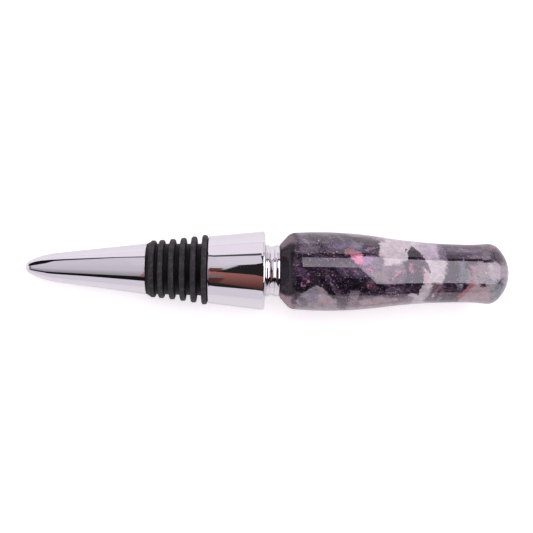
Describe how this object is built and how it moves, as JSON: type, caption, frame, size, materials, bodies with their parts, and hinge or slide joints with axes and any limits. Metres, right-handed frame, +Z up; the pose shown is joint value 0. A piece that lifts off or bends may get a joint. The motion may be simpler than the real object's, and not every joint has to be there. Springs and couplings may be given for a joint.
{
  "type": "bottle stopper",
  "caption": "Wine-bottle stopper: tapered chrome plug with a ribbed rubber sealing sleeve and a turned, swirled resin handle.",
  "frame": {"origin": "centre of the bounding box's base, on the surface the stopper lies on", "axes": "+X along the stopper from the cone's tip to the handle's domed end (the axis rises 4.4 degrees towards the handle), +Y across, +Z up"},
  "size_m": [0.1382, 0.0226, 0.0249],
  "materials": {
    "chrome_plate": "bright chrome plating on a zinc casting",
    "seal_rubber": "matte moulded rubber",
    "stud_steel": "plain turned steel",
    "cast_resin": "polished cast resin, black with pearl and pink swirls and glitter"
  },
  "bodies": {
    "root": {"stopper_core": "chrome_plate", "ribbed_sleeve": "seal_rubber", "threaded_stud": "stud_steel", "turned_handle": "cast_resin"}
  },
  "joints": []
}
